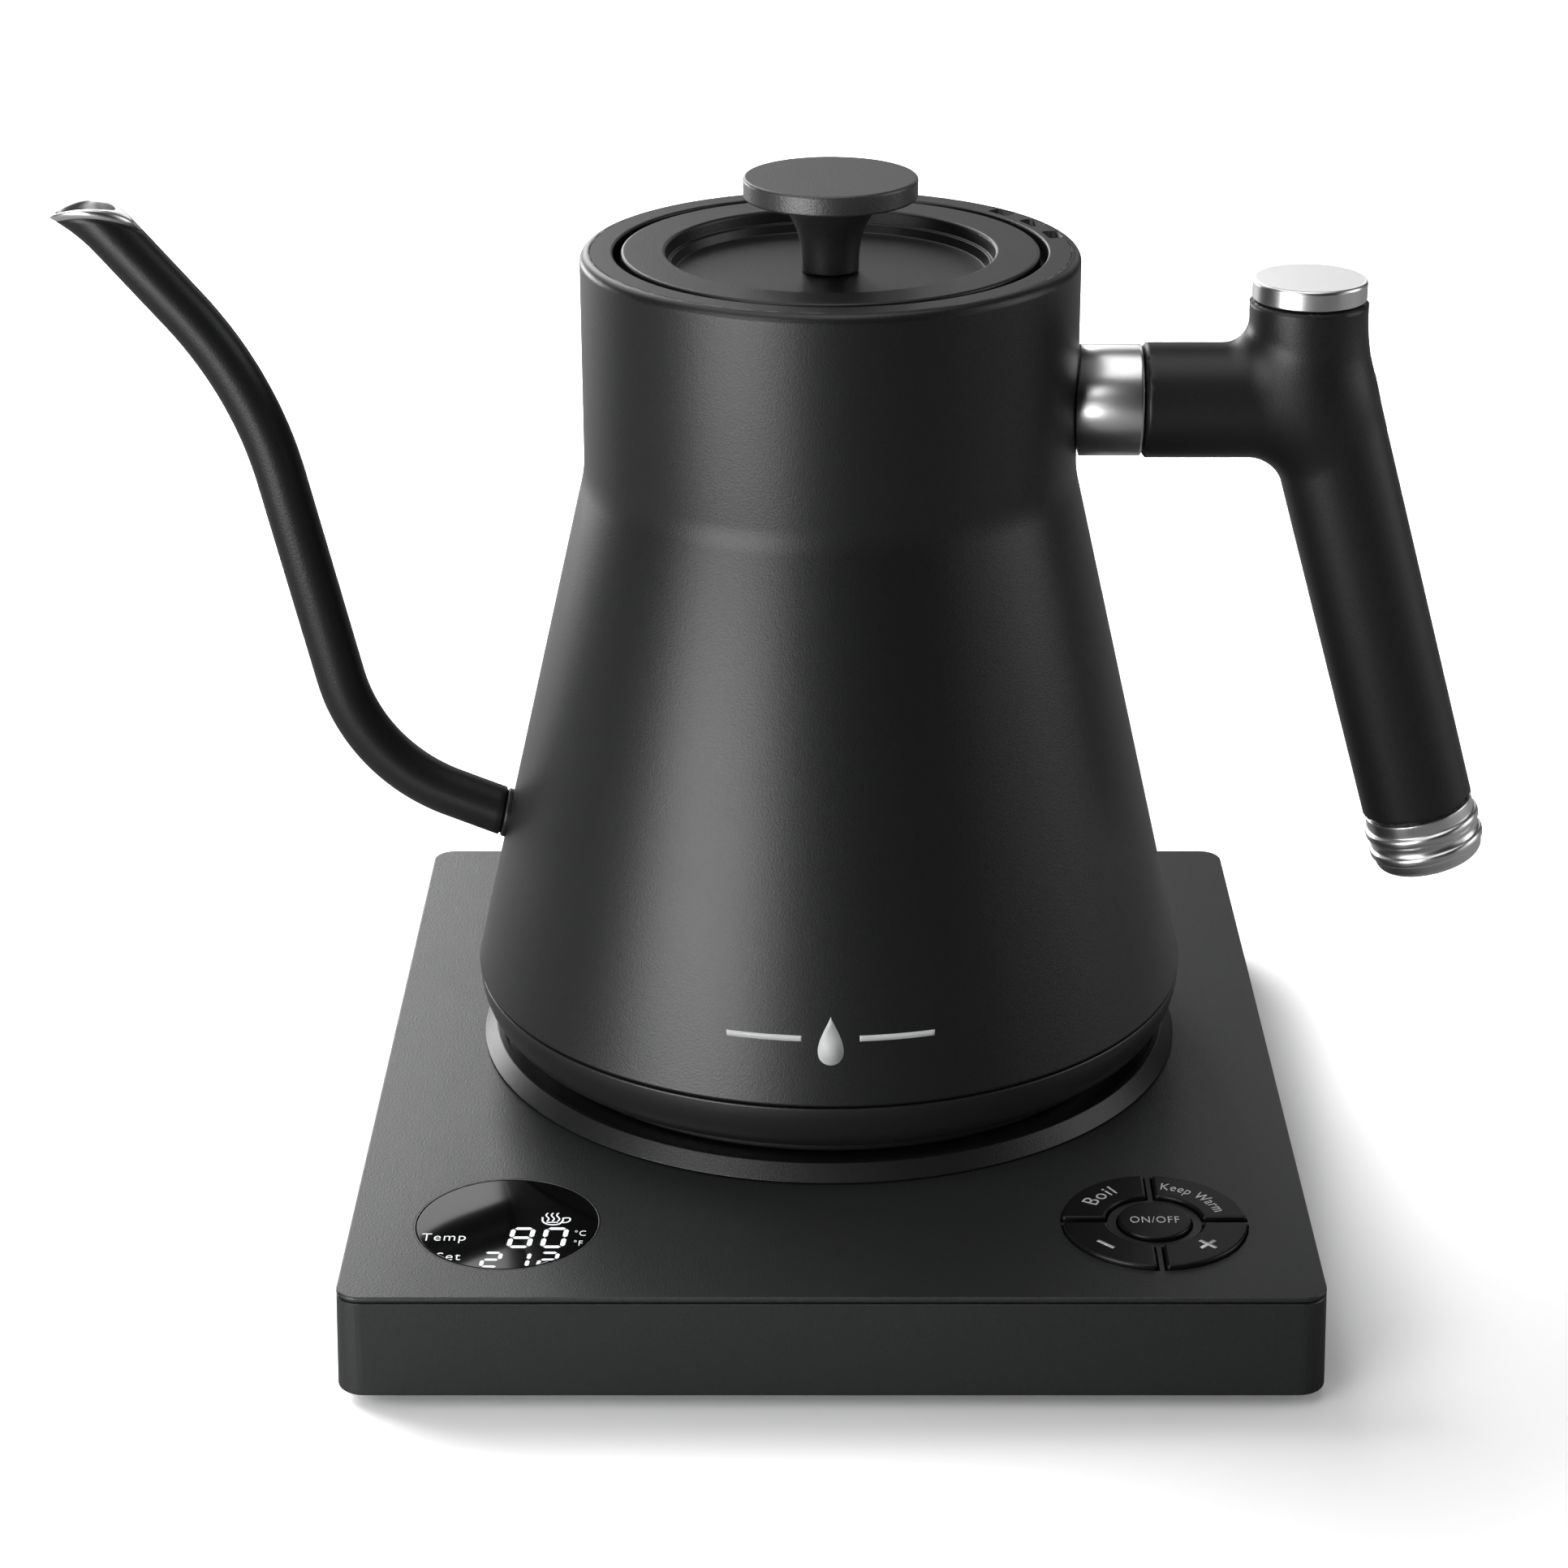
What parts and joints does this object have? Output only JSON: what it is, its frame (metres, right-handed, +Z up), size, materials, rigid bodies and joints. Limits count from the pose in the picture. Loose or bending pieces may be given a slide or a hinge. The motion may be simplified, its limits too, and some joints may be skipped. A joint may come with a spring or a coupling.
{
  "type": "electric kettle",
  "caption": "Gooseneck electric kettle on a square control base with a round display and push keys",
  "frame": {"origin": "Middle of the whole object's box, on the ground under the feet", "axes": "+X towards the handle, -X towards the spout, -Y towards the controls, +Z up along the kettle's axis"},
  "size_m": [0.2826, 0.2028, 0.2012],
  "materials": {
    "black_paint": "fine-grained matte powder coat",
    "shell_paint": "fine-grained matte powder coat",
    "key_plastic": "smooth semi-gloss moulding",
    "black_plastic": "matte moulding",
    "grip_black": "fine-grained matte moulding",
    "polished_steel": "mirror-polished stainless steel",
    "inner_steel": "plain brushed stainless steel",
    "knob_steel": "finely brushed dark steel",
    "contact_brass": "plain",
    "cast_aluminium": "cast",
    "black_rubber": "matte",
    "grey_silicone": "soft matte",
    "circuit_board": "green solder mask",
    "display_glass": "polished black lens"
  },
  "bodies": {
    "base": {"base_top_panel": "shell_paint", "base_shell": "shell_paint", "base_bottom_cover": "black_plastic", "foot_front_left": "black_rubber", "foot_front_right": "black_rubber", "foot_rear_left": "black_rubber", "foot_rear_right": "black_rubber", "base_screw_front_left": "inner_steel", "base_screw_front_right": "inner_steel", "base_screw_rear_left": "inner_steel", "base_screw_rear_right": "inner_steel", "cord_gland": "black_rubber", "display_lens": "display_glass", "display_module": "black_plastic", "switch_keep_warm": "black_plastic", "switch_boil": "black_plastic", "switch_minus": "black_plastic", "switch_plus": "black_plastic", "switch_power": "black_plastic", "control_board": "circuit_board", "power_board": "circuit_board", "plinth_ring": "black_plastic", "coupler_body": "black_plastic", "coupler_contact_ring": "contact_brass", "coupler_pin": "contact_brass"},
    "coupling": {"kettle_socket": "black_plastic"},
    "kettle": {"kettle_body": "black_paint", "vessel_floor": "inner_steel", "heat_spreader": "cast_aluminium", "heating_element": "inner_steel", "temperature_sensor": "inner_steel", "dry_boil_cutout": "inner_steel", "kettle_bottom_cover": "black_plastic", "kettle_screw_1": "inner_steel", "kettle_screw_2": "inner_steel", "kettle_screw_3": "inner_steel", "spout_collar": "black_paint", "spout_tube": "black_paint", "spout_lip": "polished_steel", "handle_grip": "grip_black", "handle_neck": "polished_steel", "handle_stud": "inner_steel", "handle_nut": "inner_steel", "handle_plug": "black_plastic", "handle_top_cap": "polished_steel", "handle_end_cap": "polished_steel", "lid_seat": "black_plastic"},
    "lid": {"lid_top": "black_paint", "lid_skirt": "black_plastic", "lid_gasket": "grey_silicone", "lid_knob": "knob_steel", "lid_screw": "inner_steel"},
    "button_boil": {"key_boil": "key_plastic"},
    "button_keep_warm": {"key_keep_warm": "key_plastic"},
    "button_minus": {"key_minus": "key_plastic"},
    "button_plus": {"key_plus": "key_plastic"},
    "button_power": {"key_power": "key_plastic"}
  },
  "joints": [
    {"name": "kettle_lift", "type": "slide", "parent": "base", "child": "coupling", "axis": [0, 0, 1], "range_m": [0, 0.15]},
    {"name": "kettle_turn", "type": "hinge", "parent": "coupling", "child": "kettle", "pos_m": [0.00824, 0.0127, 0.0227], "axis": [0, 0, 1], "continuous": true},
    {"name": "lid_lift", "type": "slide", "parent": "kettle", "child": "lid", "axis": [0, 0, 1], "range_m": [0, 0.08]},
    {"name": "boil_press", "type": "slide", "parent": "base", "child": "button_boil", "axis": [0, 0, -1], "range_m": [0, 0.0007], "stiffness_N_per_m": 300, "springref_m": -0.0006},
    {"name": "keep_warm_press", "type": "slide", "parent": "base", "child": "button_keep_warm", "axis": [0, 0, -1], "range_m": [0, 0.0007], "stiffness_N_per_m": 300, "springref_m": -0.0006},
    {"name": "minus_press", "type": "slide", "parent": "base", "child": "button_minus", "axis": [0, 0, -1], "range_m": [0, 0.0007], "stiffness_N_per_m": 300, "springref_m": -0.0006},
    {"name": "plus_press", "type": "slide", "parent": "base", "child": "button_plus", "axis": [0, 0, -1], "range_m": [0, 0.0007], "stiffness_N_per_m": 300, "springref_m": -0.0006},
    {"name": "power_press", "type": "slide", "parent": "base", "child": "button_power", "axis": [0, 0, -1], "range_m": [0, 0.0007], "stiffness_N_per_m": 300, "springref_m": -0.0006}
  ]
}
